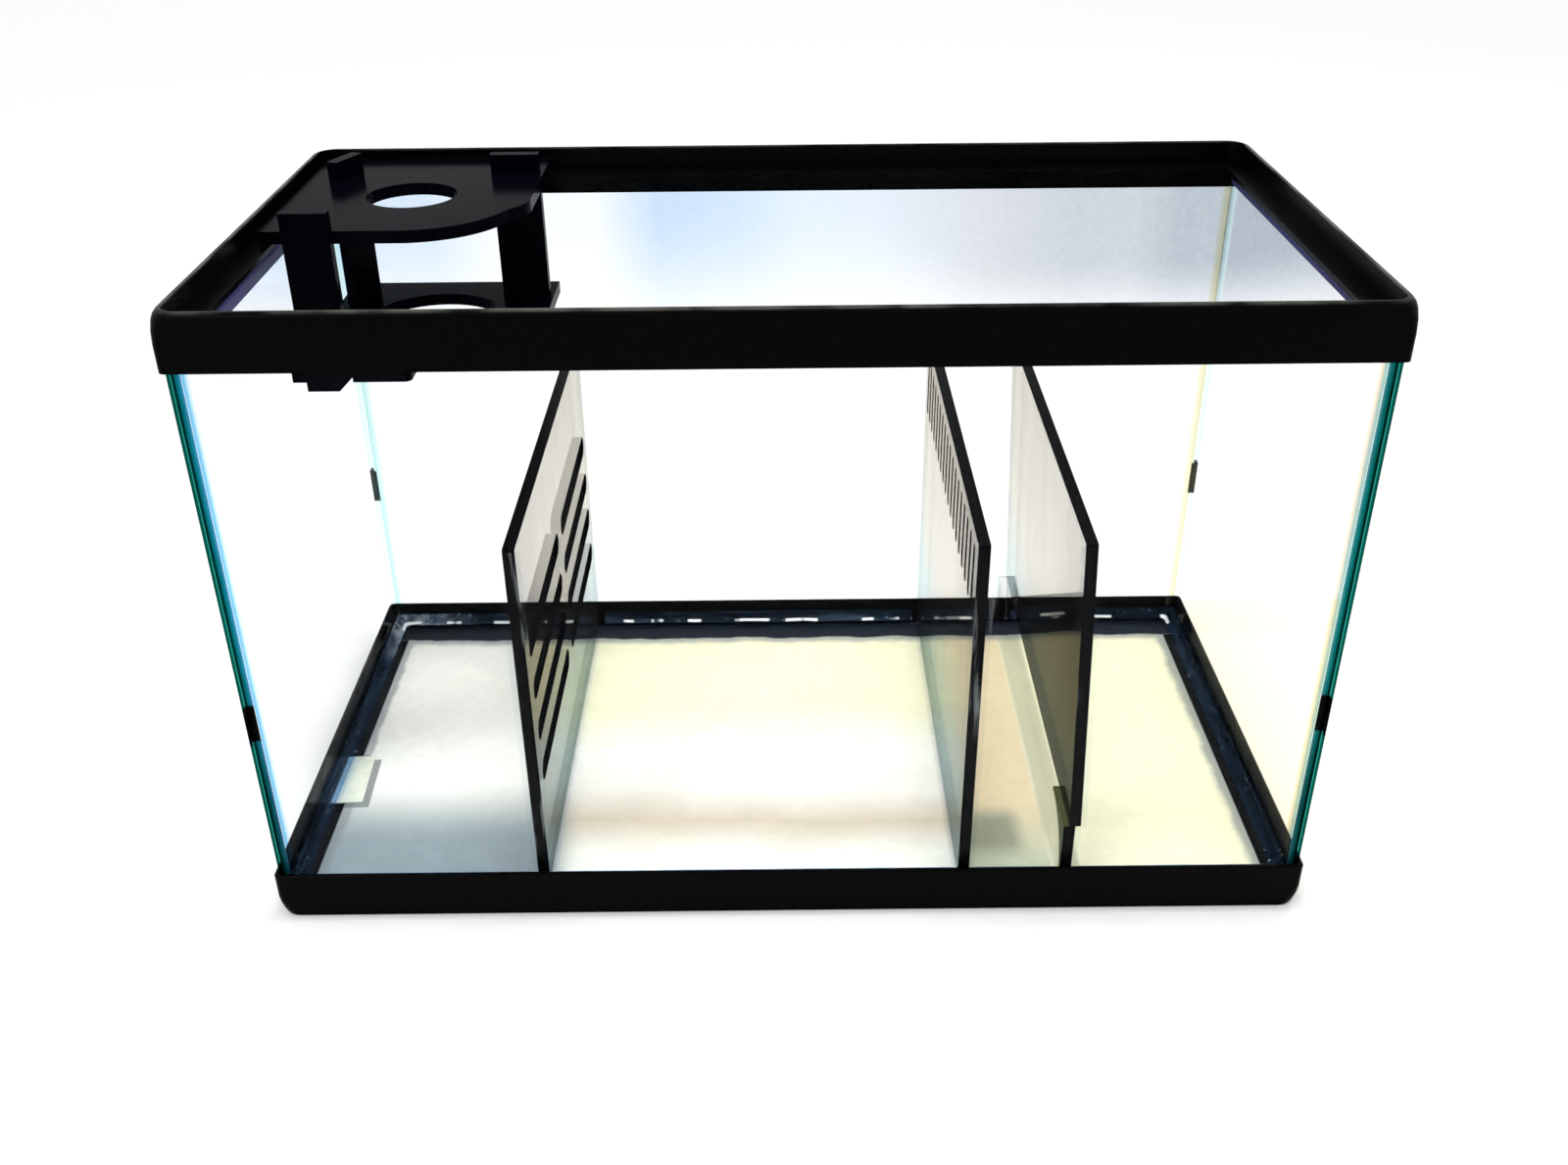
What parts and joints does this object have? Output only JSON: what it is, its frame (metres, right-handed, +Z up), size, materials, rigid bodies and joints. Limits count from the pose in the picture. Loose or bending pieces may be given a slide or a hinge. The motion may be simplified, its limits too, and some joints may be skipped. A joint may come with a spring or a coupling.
{
  "type": "glass aquarium tank",
  "caption": "Black-framed rectangular glass tank divided by smoked baffles into sump chambers, with a lift-out filter-sock holder hanging from the rim.",
  "frame": {"origin": "centre of the footprint, on the plane the bottom frame stands on", "axes": "+X along the tank's length, from the chamber with the sock holder to the empty end chamber; +Y to the back pane; +Z up"},
  "size_m": [0.5144, 0.2666, 0.3245],
  "materials": {
    "frame_plastic": "moulded, satin to gloss black",
    "glass": "clear float glass with green-blue edges",
    "silicone": "clear glossy sealant, slightly lumpy",
    "smoked_acrylic": "translucent smoked sheet, edges read black",
    "holder_acrylic": "polished black sheet",
    "label_paper": "plain paper, blank"
  },
  "bodies": {
    "tank": {"top_frame": "frame_plastic", "bottom_frame": "frame_plastic", "floor_glass": "glass", "front_glass": "glass", "back_glass": "glass", "left_glass": "glass", "right_glass": "glass", "corner_bead_front_left": "silicone", "corner_bead_front_right": "silicone", "corner_bead_back_left": "silicone", "corner_bead_back_right": "silicone", "inlet_floor_bead": "silicone", "middle_floor_bead_front": "silicone", "middle_floor_bead_back": "silicone", "trap_floor_bead_front": "silicone", "trap_floor_bead_back": "silicone", "return_floor_bead": "silicone", "slotted_baffle": "smoked_acrylic", "comb_baffle": "smoked_acrylic", "underflow_baffle": "smoked_acrylic", "underflow_foot_front": "smoked_acrylic", "underflow_foot_back": "smoked_acrylic", "slotted_baffle_seam": "silicone", "comb_baffle_seam": "silicone", "underflow_seam_front": "silicone", "underflow_seam_back": "silicone", "foot_seam_front": "silicone", "foot_seam_back": "silicone", "blank_label": "label_paper"},
    "sock_holder": {"holder_upper_plate": "holder_acrylic", "holder_lower_plate": "holder_acrylic", "holder_leg_front_left": "holder_acrylic", "holder_leg_back_right": "holder_acrylic", "holder_leg_back_left": "holder_acrylic"}
  },
  "joints": [
    {"name": "holder_lift", "type": "slide", "parent": "tank", "child": "sock_holder", "axis": [0, 0, 1], "range_m": [0, 0.12]}
  ]
}
